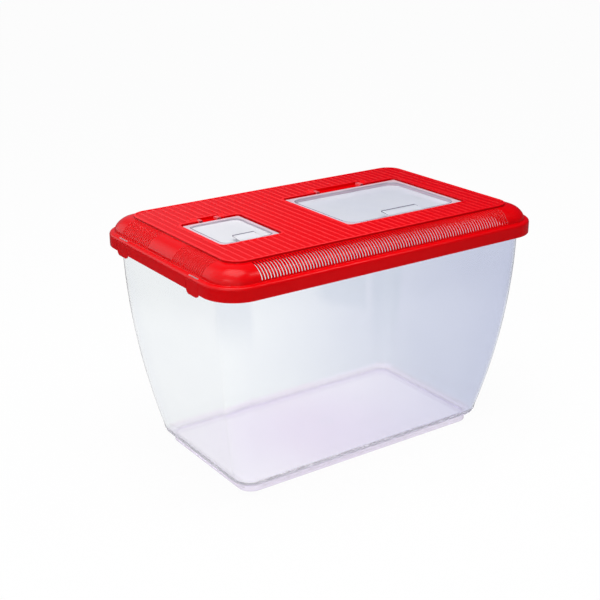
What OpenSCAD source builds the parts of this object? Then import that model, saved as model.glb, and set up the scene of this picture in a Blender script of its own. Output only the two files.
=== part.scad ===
// Plastic pet keeper: a clear flared tub, a red vented lid that pushes over its
// rim, and two clear doors that lie in recesses of the lid.
// Millimetres, +Z up. The origin is the middle of the foot, on the surface that
// the keeper stands on. X runs along its length and -Y is its front.

/* [Tub] */
// Height of the tub to the top of its rim
tub_h = 280; // [200:1:340]
// Length over the walls at the rim
tub_l = 440; // [410:1:560]
// Width over the walls at the rim
tub_w = 272.4; // [256:0.2:360]
// Thickness of the tub's walls
tub_wall = 2; // [1.4:0.1:2.6]
// Thickness of the tub's floor
floor_t = 2.2; // [1.6:0.1:4]
// Length of the foot
foot_l = 355; // [300:1:400]
// Width of the foot
foot_w = 187.5; // [150:0.5:230]
// Height of the foot under the floor
foot_h = 9.4; // [5:0.2:20]
// Thickness of the foot's ring wall
foot_t = 2.5; // [1.5:0.1:5]
// Corner radius of the foot
foot_r = 18; // [12:1:30]
// Height of the rounded knee above the foot
knee_h = 13; // [8:0.5:24]
// How far the knee stands out past the foot
knee_out = 11.3; // [6:0.1:18]
// Corner radius of the walls just above the knee
low_corner_r = 24; // [18:1:40]
// Corner radius of the walls at the rim
top_corner_r = 29; // [20:1:36]
// How far in from the foot's outline the rounding inside the floor starts
floor_fillet = 5.5; // [2:0.5:12]

/* [Tub rim] */
// How far the rim flange stands out past the short walls
rim_out_ends = 12.2; // [8:0.2:18]
// How far the rim flange stands out past the long walls
rim_out_sides = 10; // [7:0.2:18]
// Thickness of the rim flange
rim_t = 2.5; // [1.6:0.1:4]
// Height of the lip that hangs from the flange's edge
lip_h = 9.5; // [6:0.1:11]
// Thickness of that lip
lip_t = 2; // [1.2:0.1:3]
// Corner radius of the rim flange
rim_corner_r = 39.2; // [30:0.2:46]

/* [Lid] */
// Thickness of the lid's walls
lid_wall = 2; // [1.4:0.1:2.6]
// Side clearance between the rim and the lid's skirt
rim_gap = 0.8; // [0.4:0.1:2]
// Height of the skirt, from its lower edge to the ledge
skirt_h = 17; // [14:0.5:24]
// Rounding of the skirt's upper edge
edge_r = 3.5; // [2:0.1:5]
// Width of the flat ledge outside the shoulder
ledge_w = 6.5; // [5:0.1:10]
// Width of the shoulder's arch
arch_run = 22; // [18:0.5:30]
// Height of the shoulder's arch
arch_rise = 17; // [15:0.5:24]
// Radius of the arch's tighter lower arc
arch_r = 12; // [9:0.5:13]
// Height of the raised plate above the shoulder
plate_step = 3; // [2.4:0.1:5]
// Corner radius of the raised plate
plate_r = 20.8; // [14:0.2:30]

/* [Lid ribs and slots] */
// Spacing of the ribs along the plate
rib_pitch = 9.7; // [6:0.1:16]
// Width of each rib
rib_w = 2; // [1:0.1:3]
// Height of the ribs above the bands between them
rib_h = 0.6; // [0.3:0.1:1]
// Width of the smooth border along the plate's edge
plate_border = 2.5; // [1.5:0.1:6]
// Width of the smooth border round a recess
recess_border = 3; // [2:0.1:6]
// Spacing of the air slots in the shoulder
slot_pitch = 4; // [3:0.1:8]
// Width of each air slot
slot_w = 1.8; // [1:0.1:2.4]
// Height of the slots' lower end above the ledge
slot_foot = 1.5; // [0.5:0.1:4]
// How far the slots' upper end stays from the plate
slot_head = 1; // [0.5:0.1:4]
// Distance from a slot row's end to the end of the plate
slot_margin = 26; // [20:1:50]
// Half the smooth length in the middle of the two short sides
slot_blank = 30; // [10:1:60]

/* [Lid clips] */
// Width of a clip
clip_w = 26; // [16:1:36]
// Distance of a clip from the lid's middle
clip_y = 84; // [60:1:90]
// How far a clip reaches below the skirt
clip_drop = 4.5; // [2:0.5:10]
// Rounding of a clip's lower corners
clip_r = 6; // [2:0.5:8]
// Gap beside a clip
clip_side_gap = 0.5; // [0.3:0.1:1.5]
// Gap above a clip and over its hook
clip_gap = 0.3; // [0.2:0.05:0.6]
// Width of a clip's hook
hook_w = 18; // [8:1:24]
// Height of a clip's hook
hook_h = 4.7; // [3:0.1:6]
// Clearance between a clip's hook and the rim's edge, which it slides past
hook_gap = 0.3; // [0.2:0.05:0.4]
// Length of the slot in the ledge above a clip
ledge_slot_l = 20; // [10:1:24]
// Width of that slot
ledge_slot_w = 2; // [1:0.1:3]

/* [Doors] */
// Thickness of a door's rim, walls and panel
door_t = 2; // [1.4:0.1:2.6]
// Width of a door's rim
flange_w = 6.5; // [6:0.1:10]
// Corner radius of a door's rim
door_r = 6; // [3:0.5:9]
// How far a door's rim lies below the top of the plate
door_sunk = 1.8; // [1.2:0.1:3]
// Gap between a door and the sides and front of its recess
door_gap = 1; // [0.6:0.1:2]
// Gap behind a door
door_back_gap = 2; // [1:0.1:3]
// Clearance of a door's tray in its hole
tray_gap = 0.8; // [0.6:0.05:1.5]
// Width of the large door
large_w = 181.5; // [120:0.5:200]
// Depth of the large door
large_d = 140.7; // [100:0.1:150]
// Depth from the large door's rim down to its panel
large_tray = 5; // [3:0.1:7]
// Corner radius inside the large door's tray
large_tray_r = 17; // [4:0.5:24]
// Distance of the large door from the plate's right end
large_side = 40.5; // [20:0.5:60]
// Distance of the large door from the plate's front edge
large_front = 42.85; // [30:0.05:50]
// Width of the large door's hinge pocket
large_pocket_w = 77; // [50:1:100]
// Distance of the large door's hinge axis behind the door
large_hinge = 10.2; // [8:0.1:14]
// Width of the large door's latch
large_latch_w = 53; // [30:1:80]
// Width of the small door
small_w = 81; // [60:0.5:110]
// Depth of the small door
small_d = 95.5; // [70:0.5:120]
// Depth from the small door's rim down to its panel
small_tray = 3; // [3:0.1:7]
// Corner radius inside the small door's tray
small_tray_r = 9; // [4:0.5:16]
// Distance of the small door from the plate's left end
small_side = 27.5; // [15:0.5:50]
// Distance of the small door from the plate's front edge
small_front = 62.75; // [40:0.05:80]
// Width of the small door's hinge pocket
small_pocket_w = 31; // [24:1:50]
// Distance of the small door's hinge axis behind the door
small_hinge = 7.7; // [7:0.1:12]
// Width of the small door's latch
small_latch_w = 29; // [18:1:50]

/* [Door hinges] */
// Distance from a hinge axis to the back of its pocket
pocket_back = 4.8; // [4:0.1:8]
// Rounding of an arm's end about its pin
arm_r = 2; // [1.6:0.1:3]
// Width of each arm
arm_w = 5; // [3:0.5:8]
// Gap between an arm and the side of the pocket
arm_gap = 0.4; // [0.2:0.1:1]
// Gap under an arm's round end
arm_floor_gap = 0.3; // [0.2:0.1:1]
// Radius of a hinge pin
pin_r = 1.5; // [1:0.1:2]
// How far a pin reaches into its knuckle
pin_l = 4.6; // [2:0.2:6]
// Running clearance round a pin
pin_gap = 0.06; // [0.02:0.01:0.1]
// Radius of a knuckle
knuckle_r = 4.2; // [3:0.1:5]
// Length of a knuckle
knuckle_l = 7.5; // [6:0.5:12]

/* [Door latches] */
// Distance from a door's front edge to the back of its thumb tab
thumb_back = 21.5; // [14:0.5:30]
// Distance from a door's front edge to the front of its thumb tab
thumb_front = 3; // [2.6:0.1:4]
// Thickness of the thumb tab
thumb_t = 1.5; // [1:0.1:2]
// Height of the thumb tab's front above the door's rim
thumb_low = 0.8; // [0.2:0.1:2]
// Height of the thumb tab's back above the door's rim
thumb_high = 3; // [2:0.1:6]
// Width of the strip of rim left in front of a latch
strip_w = 2.5; // [1.5:0.1:2.5]
// Gap beside a latch
latch_side_gap = 0.6; // [0.4:0.1:1.5]
// Depth from a door's rim down to its latch's foot
latch_depth = 11.2; // [10.8:0.1:14]
// Room behind a latch's leg for it to flex
latch_room = 2.2; // [2:0.1:4]
// Gap between a latch's foot and the land under it
latch_gap = 0.3; // [0.25:0.05:0.5]
// Clearance between a latch's hook and the edge of its hole, which it slides past
latch_hook_gap = 0.4; // [0.35:0.05:0.6]
// How far the upper face of the latch's hook falls to its tip
latch_fall = 0.6; // [0.4:0.1:1]
// Height of the slope under the latch's hook
latch_slope = 2; // [1:0.2:3]
// Share of the latch's width that its hook takes
latch_hook_share = 0.8; // [0.4:0.05:1]

/* [Hidden] */
$fn = 64;

// Cuts run this far past the faces that they open
cut = 1;

// Heights from the tub up
floor_z = foot_h + floor_t;
knee_z = foot_h + knee_h;
lip_z = tub_h - lip_h;
seat_z = tub_h;
ledge_z = seat_z + lid_wall;
skirt_z = ledge_z - skirt_h;
shoulder_z = ledge_z + arch_rise;
plate_z = shoulder_z + plate_step;
plate_under = plate_z - lid_wall;
rim_top = plate_z - door_sunk;
recess_z = rim_top - door_t;
axis_z = rim_top;
pocket_z = axis_z - arm_r - arm_floor_gap;

// Plan sizes from the tub out to the lid, and in again to the plate
rim_l = tub_l + 2 * rim_out_ends;
rim_w = tub_w + 2 * rim_out_sides;
lid_grow = rim_gap + lid_wall;
lid_l = rim_l + 2 * lid_grow;
lid_w = rim_w + 2 * lid_grow;
lid_corner_r = rim_corner_r + lid_grow;
plate_in = ledge_w + arch_run;
plate_l = lid_l - 2 * plate_in;
plate_w = lid_w - 2 * plate_in;

// Radius of the arch's upper arc, which meets the lower arc smoothly and is
// level where it meets the plate
arch_top_r = (pow(arch_run - arch_r, 2) + pow(arch_rise, 2) - pow(arch_r, 2))
             / (2 * (arch_rise - arch_r));

// A door is [middle x, front y, width, depth, tray depth, tray corner radius,
// pocket width, distance of the axis behind it, latch width]
large = [plate_l / 2 - large_side - large_w / 2, large_front - plate_w / 2,
         large_w, large_d, large_tray, large_tray_r,
         large_pocket_w, large_hinge, large_latch_w];
small = [small_side + small_w / 2 - plate_l / 2, small_front - plate_w / 2,
         small_w, small_d, small_tray, small_tray_r,
         small_pocket_w, small_hinge, small_latch_w];
X = 0;
FRONT = 1;
WIDTH = 2;
DEPTH = 3;
TRAY = 4;
TRAY_R = 5;
POCKET = 6;
HINGE = 7;
LATCH = 8;
function rear(door) = door[FRONT] + door[DEPTH];
function axis_y(door) = rear(door) + door[HINGE];
function panel_z(door) = rim_top - door[TRAY];

// Latch heights and distances behind the door's front edge
wall_face = flange_w - door_t;
leg_low = rim_top - latch_depth;
land_top = leg_low - latch_gap;
catch_z = recess_z - lid_wall;
hole_face = wall_face - tray_gap;

// Clip heights
clip_top = ledge_z - edge_r - 2 * clip_gap;
clip_low = skirt_z - clip_drop;
hook_top = lip_z - clip_gap;

// Tub wall: rings of points carried from the floor's outside up over the rim
corner_steps = 8;
knee_steps = 5;
wall_steps = 12;

function ring(half_l, half_w, r, z) = [
    for (q = [0:3], i = [0:corner_steps])
        let (a = 90 * q + 90 * i / corner_steps,
             side_x = q == 0 || q == 3 ? 1 : -1,
             side_y = q < 2 ? 1 : -1)
        [side_x * (half_l - r) + r * cos(a), side_y * (half_w - r) + r * sin(a), z]];

// The wall's spread leans out fast above the knee and is upright at the rim
function spread(s, total) = knee_out + (total - knee_out) * (1 - (1 - s) * (1 - s));
function wall_ring(s, inset) = ring(
    foot_l / 2 + spread(s, (tub_l - foot_l) / 2) - inset,
    foot_w / 2 + spread(s, (tub_w - foot_w) / 2) - inset,
    low_corner_r + (top_corner_r - low_corner_r) * s - inset,
    knee_z + (tub_h - knee_z) * s);

// A knee ring lies on a quarter of an ellipse from start to the wall, inset
function knee_ring(a, start, inset, z) =
    let (out = (knee_out - inset + start) * sin(a) - start)
    ring(foot_l / 2 + out, foot_w / 2 + out,
         foot_r - start + (low_corner_r - inset - foot_r + start) * sin(a),
         z + (knee_z - z) * (1 - cos(a)));

module tub_wall_loft() {
    rings = concat(
        [for (i = [0:knee_steps - 1]) knee_ring(90 * i / knee_steps, 0, 0, foot_h)],
        [for (i = [0:wall_steps]) wall_ring(i / wall_steps, 0)],
        [for (i = [wall_steps:-1:0]) wall_ring(i / wall_steps, tub_wall)],
        [for (i = [knee_steps - 1:-1:0])
            knee_ring(90 * i / knee_steps, floor_fillet, tub_wall, floor_z)]);
    n = 4 * (corner_steps + 1);
    last = len(rings) - 1;
    points = [for (r = rings, p = r) p];
    sides = [for (k = [0:last - 1], i = [0:n - 1], half = [0, 1])
        let (a = k * n + i, b = k * n + (i + 1) % n)
        half == 0 ? [a, a + n, b + n] : [a, b + n, b]];
    floor_out = [for (i = [0:n - 1]) i];
    floor_in = [for (i = [n - 1:-1:0]) last * n + i];
    polyhedron(points, concat([floor_out], sides, [floor_in]));
}

module round_rect(l, w, r) {
    square([l - 2 * r, w], center = true);
    square([l, w - 2 * r], center = true);
    for (x = [-1, 1], y = [-1, 1])
        translate([x * (l / 2 - r), y * (w / 2 - r)])
            circle(r);
}

// A ring between two heights and two round-cornered outlines
module frame_band(outer, inner, low, high) {
    translate([0, 0, low])
        linear_extrude(high - low)
            difference() {
                round_rect(outer[0], outer[1], outer[2]);
                round_rect(inner[0], inner[1], inner[2]);
            }
}

function moved_in(outline, t) = outline - [2 * t, 2 * t, t];

module tub() {
    color("aliceblue", 0.4) {
        foot = [foot_l, foot_w, foot_r];
        rim = [rim_l, rim_w, rim_corner_r];
        wall_top = [tub_l, tub_w, top_corner_r];
        tub_wall_loft();
        frame_band(foot, moved_in(foot, foot_t), 0, foot_h + floor_t / 2);
        // The flange starts in the middle of the wall, which it wraps
        frame_band(rim, moved_in(wall_top, tub_wall / 2), tub_h - rim_t, tub_h);
        frame_band(rim, moved_in(rim, lip_t), lip_z, tub_h);
    }
}

// Space under the shoulder's arch, in distance from the skirt's face and height
module arch_section(reach, inset) {
    low_centre = [ledge_w + arch_r, ledge_z];
    top_centre = [ledge_w + arch_run, shoulder_z - arch_top_r];
    to_joint = (low_centre - top_centre) / norm(low_centre - top_centre);
    far = 2 * arch_top_r;
    intersection() {
        translate([0, ledge_z])
            square([reach, arch_rise]);
        union() {
            translate(low_centre)
                circle(arch_r - inset);
            intersection() {
                translate(top_centre)
                    circle(arch_top_r - inset);
                translate(top_centre)
                    polygon([[0, 0], far * to_joint, [far * to_joint[0], far], [0, far]]);
            }
            translate([top_centre[0], 0])
                square([reach - top_centre[0], shoulder_z - inset]);
        }
    }
}

module outer_section(reach) {
    translate([edge_r, skirt_z])
        square([reach - edge_r, skirt_h]);
    translate([0, skirt_z])
        square([reach, skirt_h - edge_r]);
    translate([edge_r, ledge_z - edge_r])
        circle(edge_r);
    arch_section(reach, 0);
}

module inner_section(reach) {
    translate([lid_wall, skirt_z - cut])
        square([reach - lid_wall, seat_z - skirt_z + cut]);
    translate([ledge_w + lid_wall, skirt_z])
        square([reach - ledge_w - lid_wall, skirt_h]);
    arch_section(reach, lid_wall);
}

module lid_section(reach, inside) {
    if (inside)
        inner_section(reach);
    else
        outer_section(reach);
}

// The section carried round the lid: both ways across the middle, and turned
// about the four corners
module carried_round(inside) {
    spans = [[lid_l, lid_w, 90], [lid_w, lid_l, 0]];
    for (s = spans)
        rotate([90, 0, s[2]])
            linear_extrude(s[0] - 2 * lid_corner_r, center = true)
                for (m = [0, 1])
                    mirror([m, 0])
                        translate([-s[1] / 2, 0])
                            lid_section(s[1] / 2, inside);
    for (q = [0:3])
        translate([(q == 0 || q == 3 ? 1 : -1) * (lid_l / 2 - lid_corner_r),
                   (q < 2 ? 1 : -1) * (lid_w / 2 - lid_corner_r), 0])
            rotate([0, 0, 90 * q])
                rotate_extrude(angle = 90)
                    translate([lid_corner_r, 0])
                        mirror([1, 0])
                            lid_section(lid_corner_r, inside);
}

// A door's outline, grown past its rim by the gaps of its recess and by extra
module recess_2d(door, extra) {
    deep = door[DEPTH] + door_gap + door_back_gap;
    translate([door[X], door[FRONT] - door_gap + deep / 2])
        round_rect(door[WIDTH] + 2 * (door_gap + extra), deep + 2 * extra, door_r + extra);
}

module pocket_2d(door, extra) {
    low = rear(door) - flange_w / 2;
    translate([door[X] - door[POCKET] / 2 - extra, low])
        square([door[POCKET] + 2 * extra, axis_y(door) + pocket_back + extra - low]);
}

// A door's outline, or that of its tray at a distance in from the rim
module inset_2d(door, inset) {
    translate([door[X], door[FRONT] + door[DEPTH] / 2])
        round_rect(door[WIDTH] - 2 * inset, door[DEPTH] - 2 * inset,
                   inset == 0 ? door_r : door[TRAY_R] + flange_w - inset);
}

module at_knuckles(door) {
    for (side = [-1, 1])
        translate([door[X] + side * door[POCKET] / 2, axis_y(door), axis_z])
            rotate([0, 90 * side, 0])
                children();
}

module recess_walls(door) {
    translate([0, 0, recess_z - lid_wall])
        linear_extrude(plate_z - recess_z + lid_wall)
            recess_2d(door, lid_wall);
    translate([0, 0, pocket_z - lid_wall])
        linear_extrude(plate_z - pocket_z + lid_wall)
            pocket_2d(door, lid_wall);
    at_knuckles(door)
        cylinder(h = knuckle_l, r = knuckle_r);
}

module recess_cut(door) {
    translate([0, 0, recess_z])
        linear_extrude(plate_z - recess_z + cut)
            recess_2d(door, 0);
    translate([0, 0, pocket_z])
        linear_extrude(plate_z + knuckle_r - pocket_z)
            pocket_2d(door, 0);
    translate([0, 0, pocket_z - lid_wall - cut])
        linear_extrude(plate_z - pocket_z + lid_wall + cut)
            inset_2d(door, hole_face);
    at_knuckles(door)
        translate([0, 0, -cut])
            cylinder(h = cut + pin_l + arm_gap, r = pin_r + pin_gap);
}

module rib_grooves() {
    band = rib_pitch - rib_w;
    count = floor(plate_l / 2 / rib_pitch);
    translate([0, 0, plate_z - rib_h])
        linear_extrude(rib_h + cut)
            difference() {
                intersection() {
                    round_rect(plate_l - 2 * plate_border, plate_w - 2 * plate_border,
                               plate_r - plate_border);
                    for (i = [-count - 1:count])
                        translate([i * rib_pitch + rib_w / 2, -plate_w / 2])
                            square([band, plate_w]);
                }
                for (door = [large, small]) {
                    recess_2d(door, recess_border);
                    pocket_2d(door, recess_border);
                    translate([door[X], axis_y(door)])
                        square([door[POCKET] + 2 * (knuckle_l + recess_border),
                                2 * (knuckle_r + recess_border / 2)], center = true);
                }
            }
}

// One air slot across the shoulder, at the lid's left face
module air_slot(face) {
    translate([-face - cut + ledge_w, -slot_w / 2, ledge_z + slot_foot])
        cube([arch_run - slot_head + cut, slot_w, plate_z - ledge_z]);
}

module air_slots() {
    long_count = floor((plate_l / 2 - slot_margin) / slot_pitch);
    for (side = [90, -90], i = [-long_count:long_count])
        translate([i * slot_pitch, 0, 0])
            rotate([0, 0, side])
                air_slot(lid_w / 2);
    short_count = floor((plate_w / 2 - slot_margin - slot_blank) / slot_pitch);
    for (side = [0, 180], m = [-1, 1], i = [0:short_count])
        rotate([0, 0, side])
            translate([0, m * (slot_blank + i * slot_pitch), 0])
                air_slot(lid_l / 2);
}

// Places a clip or its window at one end and one half of the lid
module at_clip(end_side, half) {
    mirror([end_side < 0 ? 1 : 0, 0, 0])
        translate([lid_l / 2, half * clip_y, 0])
            children();
}

module clip_window() {
    top = clip_top + clip_gap;
    gap_w = clip_w + 2 * clip_side_gap;
    translate([-lid_wall - cut, -gap_w / 2, skirt_z - cut])
        cube([lid_wall + 2 * cut, gap_w, top - skirt_z + cut]);
    translate([-lid_wall - ledge_slot_w, -ledge_slot_l / 2, seat_z - cut])
        cube([ledge_slot_w, ledge_slot_l, lid_wall + 2 * cut]);
}

module lid() {
    color("red")
        difference() {
            union() {
                difference() {
                    union() {
                        carried_round(false);
                        translate([0, 0, shoulder_z])
                            linear_extrude(plate_step)
                                round_rect(plate_l, plate_w, plate_r);
                    }
                    carried_round(true);
                    translate([0, 0, skirt_z])
                        linear_extrude(plate_under - skirt_z)
                            round_rect(plate_l - 2 * lid_wall, plate_w - 2 * lid_wall,
                                       plate_r - lid_wall);
                }
                for (door = [large, small])
                    recess_walls(door);
            }
            for (door = [large, small])
                recess_cut(door);
            rib_grooves();
            air_slots();
            for (end_side = [-1, 1], half = [-1, 1])
                at_clip(end_side, half)
                    clip_window();
        }
}

// One clip at the right end's middle, hanging in its window
module clip() {
    high = clip_top - clip_low;
    color("red") {
        translate([-lid_wall, 0, 0])
            rotate([90, 0, 90])
                linear_extrude(lid_wall) {
                    translate([0, clip_low + high / 2])
                        round_rect(clip_w, high, clip_r);
                    translate([-clip_w / 2, clip_low + clip_r])
                        square([clip_w, high - clip_r]);
                }
        rotate([90, 0, 0])
            linear_extrude(hook_w, center = true)
                polygon([[-lid_wall / 2, hook_top], [hook_gap - lid_grow, hook_top],
                         [hook_gap - lid_grow, hook_top - lid_wall / 2],
                         [-lid_wall / 2, hook_top - hook_h]]);
    }
}

module door_tray(door) {
    panel_low = panel_z(door) - door_t;
    difference() {
        union() {
            translate([0, 0, recess_z])
                linear_extrude(door_t)
                    inset_2d(door, 0);
            translate([0, 0, panel_low])
                linear_extrude(rim_top - panel_low)
                    inset_2d(door, wall_face);
        }
        translate([0, 0, panel_z(door)])
            linear_extrude(door[TRAY] + cut)
                inset_2d(door, flange_w);
        // Bay in the front wall for the latch
        translate([door[X] - door[LATCH] / 2 - latch_side_gap, door[FRONT] + strip_w, panel_low - cut])
            cube([door[LATCH] + 2 * latch_side_gap, flange_w + latch_room - strip_w,
                  rim_top - panel_low + 2 * cut]);
    }
}

// Bracket under the panel that carries the latch's foot
module latch_land(door) {
    land_w = door[LATCH];
    back = flange_w + latch_room;
    translate([door[X] - land_w / 2, door[FRONT], land_top - door_t]) {
        translate([0, wall_face + latch_side_gap, 0])
            cube([land_w, back + door_t - wall_face - latch_side_gap, door_t]);
        translate([0, back, 0])
            cube([land_w, door_t, panel_z(door) - land_top + door_t]);
    }
}

module hinge_arms(door) {
    front = rear(door) - flange_w + door_t;
    for (side = [-1, 1])
        translate([door[X] + side * (door[POCKET] / 2 - arm_gap), 0, 0])
            mirror([side > 0 ? 1 : 0, 0, 0]) {
                rotate([90, 0, 90])
                    linear_extrude(arm_w) {
                        translate([axis_y(door), axis_z])
                            circle(arm_r);
                        translate([rear(door), recess_z])
                            square([door[HINGE], axis_z + arm_r - recess_z]);
                        translate([front, recess_z])
                            square([rear(door) - front + arm_r, door_t]);
                    }
                translate([-arm_gap - pin_l, axis_y(door), axis_z])
                    rotate([0, 90, 0])
                        cylinder(h = pin_l + arm_gap + arm_w / 2, r = pin_r);
            }
}

module door_piece(door) {
    color("lavender", 0.5) {
        door_tray(door);
        latch_land(door);
        hinge_arms(door);
    }
}

// A sprung leg in the door's front wall, with a thumb tab on top and a low hook
// under the edge of the recess floor
module latch_piece(door) {
    tab_w = door[LATCH];
    hook_z = catch_z - latch_gap;
    tip_z = hook_z - latch_fall;
    color("lavender", 0.5)
        translate([door[X], door[FRONT], 0])
            rotate([90, 0, 90]) {
                linear_extrude(tab_w, center = true) {
                    polygon([[thumb_front, rim_top + thumb_low - thumb_t],
                             [thumb_front, rim_top + thumb_low],
                             [thumb_back, rim_top + thumb_high],
                             [thumb_back, rim_top + thumb_high - thumb_t]]);
                    translate([wall_face, leg_low])
                        square([door_t, rim_top + thumb_low - leg_low]);
                }
                linear_extrude(tab_w * latch_hook_share, center = true)
                    polygon([[wall_face + door_t / 2, hook_z], [wall_face, hook_z],
                             [hole_face + latch_hook_gap, tip_z], [wall_face, tip_z - latch_slope],
                             [wall_face + door_t / 2, tip_z - latch_slope]]);
            }
}

module small_door() {
    door_piece(small);
}

module small_door_latch() {
    latch_piece(small);
}

module large_door() {
    door_piece(large);
}

module large_door_latch() {
    latch_piece(large);
}

module clip_left_front() {
    at_clip(-1, -1)
        clip();
}

module clip_left_back() {
    at_clip(-1, 1)
        clip();
}

module clip_right_front() {
    at_clip(1, -1)
        clip();
}

module clip_right_back() {
    at_clip(1, 1)
        clip();
}

tub();
lid();
small_door();
small_door_latch();
large_door();
large_door_latch();
clip_left_front();
clip_left_back();
clip_right_front();
clip_right_back();
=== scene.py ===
"""A clear flared pet keeper with a red vented lid: how it looks, piece by piece.

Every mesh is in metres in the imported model's own frame. The sizes of shapes are named
in millimetres, the places and widths in materials in metres. The sections follow the
keeper as it is put together: camera, tub, lid, clips, doors with their latches, then
the table and the lights.
"""

import math

import bmesh
import bpy
import numpy as np
from mathutils import Matrix, Vector


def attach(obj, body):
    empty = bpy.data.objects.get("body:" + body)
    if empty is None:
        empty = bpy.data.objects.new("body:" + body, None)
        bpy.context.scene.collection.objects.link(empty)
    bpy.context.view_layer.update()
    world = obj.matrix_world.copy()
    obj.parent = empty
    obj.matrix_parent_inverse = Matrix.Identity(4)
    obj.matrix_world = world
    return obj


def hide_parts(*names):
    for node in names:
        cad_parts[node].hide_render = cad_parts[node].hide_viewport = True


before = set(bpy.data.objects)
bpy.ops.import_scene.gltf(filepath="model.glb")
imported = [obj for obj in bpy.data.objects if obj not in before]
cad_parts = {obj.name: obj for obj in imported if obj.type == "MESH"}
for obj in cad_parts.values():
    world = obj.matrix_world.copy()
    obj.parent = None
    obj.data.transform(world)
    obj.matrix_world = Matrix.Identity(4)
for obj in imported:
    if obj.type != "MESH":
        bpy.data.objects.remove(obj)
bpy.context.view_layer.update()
scene = bpy.context.scene
MM = 0.001

# -------------------- camera
# A long lens looks down on the keeper's front left corner, as in the photograph.
VIEW_AZIMUTH = math.radians(-34.538)
VIEW_ELEVATION = math.radians(20.259)
VIEW_ROLL = math.radians(-0.404)
VIEW_PLACE = Vector((-812.1, -1130.4, 693.9)) * MM
VIEW_LENS = 69.68
VIEW_SENSOR = 36.0
VIEW_CLIP = (0.05, 60.0)

camera_data = bpy.data.cameras.new("view")
camera_data.lens = VIEW_LENS
camera_data.sensor_width = VIEW_SENSOR
camera_data.clip_start, camera_data.clip_end = VIEW_CLIP
camera = bpy.data.objects.new("view", camera_data)
camera.matrix_world = (Matrix.Translation(VIEW_PLACE) @ Matrix.Rotation(VIEW_AZIMUTH, 4, "Z")
                       @ Matrix.Rotation(math.pi / 2 - VIEW_ELEVATION, 4, "X")
                       @ Matrix.Rotation(VIEW_ROLL, 4, "Z"))
scene.collection.objects.link(camera)
scene.camera = camera

# -------------------- tub
# One clear injection moulding in polystyrene with a faint blue tint: a foot ring,
# a flat floor, a rounded knee, walls that flare to the rim, and a rim flange with
# a hanging lip. It comes out of its mould whole, with every edge slightly rounded.
FOOT_HALF = np.array([177.5, 93.75])
FOOT_HEIGHT = 9.4
FOOT_WALL = 2.5
FOOT_RADIUS = 18.0
FLOOR_TOP = 11.6
KNEE_OUT = 11.3
KNEE_TOP = 22.4
KNEE_RADIUS = 24.0
TUB_TOP = 280.0
TUB_OUT = np.array([42.5, 42.45])
TUB_TOP_RADIUS = 29.0
TUB_WALL = 2.0
FLOOR_ROUND = 5.5
RIM_OUT = np.array([54.7, 52.45])
RIM_RADIUS = 39.2
RIM_UNDER = 277.5
LIP_LOW = 270.5
LIP_WALL = 2.0
RIM_GAP = 2.0   # how far under the rim the wall's last ring lies
FLAT_END = 7.0  # how far in from its edge a flat face's last ring lies
# Roundings of the corners along the sections of foot and rim
FOOT_CUTS = (1.2, 0.6, 0.6, 0.7)
RIM_CUTS = (1.0, 0.8, 0.6, 0.6, 1.0, 1.0)
WALL_RINGS = 44
KNEE_RINGS = 10
CORNER_STEPS = 14
LONG_CELLS, SHORT_CELLS = 26, 16
WELD = 0.002


def softened(rows, cuts, steps=4, across=(0, 2)):
    """The outline with each corner replaced by a quarter of an ellipse.

    The curve starts a cut's length before the corner and ends as far after it, so it
    is tangent to both edges: corner + start * (1 - sin t) + end * (1 - cos t), where
    start and end are measured from the corner and t goes from 0 to a quarter turn.
    Lengths are taken in the two columns named by across; a cut of 0 keeps the point.
    """
    rows = np.asarray(rows, float)
    t = np.linspace(0.0, np.pi / 2, steps + 1)[:, None]
    parts = []
    for before, corner, after, cut in zip(rows[:-2], rows[1:-1], rows[2:], cuts):
        if cut == 0:
            parts.append(corner[None])
            continue
        start = (before - corner) * cut / np.linalg.norm((before - corner)[list(across)])
        end = (after - corner) * cut / np.linalg.norm((after - corner)[list(across)])
        parts.append(corner + start * (1 - np.sin(t)) + end * (1 - np.cos(t)))
    return np.vstack([rows[:1], *parts, rows[-1:]])


def carried_round(halves, heights, radii, corner_steps, long_shares, short_shares):
    """A section carried round a rectangle with rounded corners, one ring per row.

    A corner's points are its centre plus its radius times (cos a, sin a), with a
    going through the corner's quarter turn; a straight side's points are mixes of
    the two corner points at its ends, by the given shares, which are the same for
    all rows or one line of shares per row. Returns rings, points round, (x, y, z).
    """
    quarter = np.linspace(0.0, np.pi / 2, corner_steps + 1)
    signs = np.array([[1, 1], [-1, 1], [-1, -1], [1, -1]], float)
    radii = radii[:, None]
    corners = []
    for q, sign in enumerate(signs):
        a = quarter + q * np.pi / 2
        x = sign[0] * (halves[:, :1] - radii) + radii * np.cos(a)
        y = sign[1] * (halves[:, 1:] - radii) + radii * np.sin(a)
        corners.append(np.stack([x, y], axis=2))
    parts = []
    for q in range(4):
        parts.append(corners[q])
        t = np.atleast_2d(long_shares if q % 2 == 0 else short_shares)[:, :, None]
        parts.append((1 - t) * corners[q][:, -1:] + t * corners[(q + 1) % 4][:, :1])
    plan = np.concatenate(parts, axis=1)
    rise = np.broadcast_to(heights[:, None, None], plan.shape[:2] + (1,))
    return np.concatenate([plan, rise], axis=2)


def loft_faces(rings, around, closed=False):
    """Quads between neighbouring rings, each closed round.

    The rings end in one flat cap each, or the last joins the first when closed.
    """
    k, i = np.meshgrid(np.arange(rings - (not closed)), np.arange(around), indexing="ij")
    after, beside = (k + 1) % rings * around, (i + 1) % around
    quads = np.stack([k * around + i, k * around + beside, after + beside, after + i],
                     axis=2).reshape(-1, 4).tolist()
    if closed:
        return quads
    last = (rings - 1) * around
    return quads + [list(range(around))[::-1], list(range(last, last + around))]


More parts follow.
